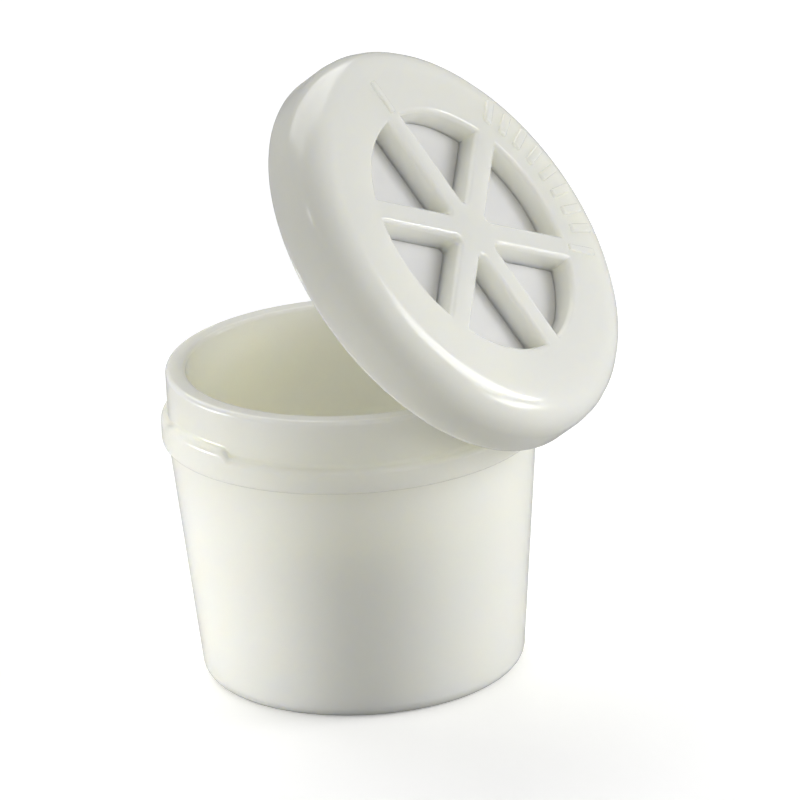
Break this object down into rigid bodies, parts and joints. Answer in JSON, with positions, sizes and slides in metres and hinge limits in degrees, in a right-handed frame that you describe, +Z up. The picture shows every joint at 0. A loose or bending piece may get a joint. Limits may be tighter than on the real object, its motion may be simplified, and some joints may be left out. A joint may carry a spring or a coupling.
{
  "type": "pill crusher",
  "caption": "White plastic tablet crusher: a tapered cup with a beaded neck and ribbed inner floor, and a round lid with a spoked recess and a swivelling crushing foot, leaning on the rim.",
  "frame": {"origin": "centre of the cup's base, on the surface that the cup stands on", "axes": "+Z up along the cup's axis; +X is the side that the lid leans over to; the XZ plane is the lean's plane of symmetry"},
  "size_m": [0.0571, 0.054, 0.0793],
  "materials": {
    "white_plastic": "glossy moulded polypropylene, slightly warm white",
    "grey_plastic": "smooth moulded plastic, neutral light grey"
  },
  "bodies": {
    "cup": {"cup": "white_plastic"},
    "crusher": {"crusher": "grey_plastic"},
    "lid": {"lid": "white_plastic"}
  },
  "joints": [
    {"name": "lid_swing", "type": "hinge", "parent": "cup", "child": "crusher", "pos_m": [0.0262, 0, 0.0326], "axis": [0, -1, 0], "range_deg": [0, 52.3]},
    {"name": "lid_twist", "type": "hinge", "parent": "crusher", "child": "lid", "pos_m": [0.01196, 0, 0.05471], "axis": [0.7912, 0, 0.6115], "continuous": true}
  ]
}
